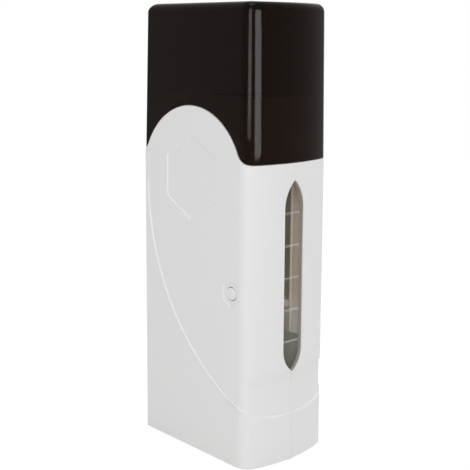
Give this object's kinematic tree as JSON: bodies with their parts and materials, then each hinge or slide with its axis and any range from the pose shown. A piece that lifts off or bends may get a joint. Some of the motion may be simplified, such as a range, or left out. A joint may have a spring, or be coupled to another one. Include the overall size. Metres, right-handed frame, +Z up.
{
  "type": "roll-on wax heater",
  "caption": "Upright handheld heater for a roll-on wax cartridge: two white casing halves, smoked lift-off lid, pointed level window and push button.",
  "frame": {"origin": "centre of the plan on the surface that the heater stands on", "axes": "+Z up, towards the lid; -Y is the front with the level window; the push button is on the -X side"},
  "size_m": [0.0534, 0.0774, 0.2104],
  "materials": {
    "white_casing": "satin gloss moulded ABS",
    "smoked_lid": "dark smoked transparent polycarbonate, high gloss",
    "clear_window": "clear polycarbonate, faintly smoked",
    "light_liner": "light beige-grey heat-resistant plastic, satin",
    "chamber_metal": "bronze-grey anodised sheet",
    "heater_foil": "foil-faced heater in amber film",
    "spring_steel": "stamped strip, satin",
    "glass_cloth": "woven glass sheet",
    "black_thermoplastic": "fine matt",
    "fuse_metal": "drawn can",
    "board_green": "solder mask over glass laminate",
    "lamp_amber": "clear epoxy",
    "film_capacitor": "potted box",
    "contact_brass": "nickel-washed brass",
    "screw_steel": "zinc plated",
    "foot_rubber": "grey silicone rubber, matt",
    "lead_silicone": "silicone rubber sleeve"
  },
  "bodies": {
    "casing": {"left_casing": "white_casing", "right_casing": "white_casing", "front_window": "clear_window", "top_frame": "light_liner", "window_hood": "light_liner", "cartridge_seat": "light_liner", "heating_chamber": "chamber_metal", "heater_left": "heater_foil", "heater_right": "heater_foil", "heater_clamp_left": "spring_steel", "heater_clamp_right": "spring_steel", "clamp_rivets": "fuse_metal", "insulation_left": "glass_cloth", "insulation_right": "glass_cloth", "thermostat": "black_thermoplastic", "thermal_fuse": "fuse_metal", "circuit_board": "board_green", "switch_body": "black_thermoplastic", "pilot_lamp": "lamp_amber", "triac": "black_thermoplastic", "capacitor": "film_capacitor", "inlet_socket": "black_thermoplastic", "inlet_pins": "contact_brass", "casing_screws": "screw_steel", "foot_left_front": "foot_rubber", "foot_left_back": "foot_rubber", "foot_right_front": "foot_rubber", "foot_right_back": "foot_rubber", "lead_live": "lead_silicone", "lead_neutral": "lead_silicone", "lead_thermostat": "lead_silicone", "lead_bridge": "lead_silicone", "lead_fuse": "lead_silicone", "lead_board": "lead_silicone"},
    "lid": {"lid": "smoked_lid"},
    "button": {"push_button": "white_casing", "switch_plunger": "black_thermoplastic"}
  },
  "joints": [
    {"name": "lid_lift", "type": "slide", "parent": "casing", "child": "lid", "axis": [0, 0, 1], "range_m": [0, 0.08]},
    {"name": "button_press", "type": "slide", "parent": "casing", "child": "button", "axis": [1, 0, 0], "range_m": [0, 0.0005], "stiffness_N_per_m": 4000}
  ]
}
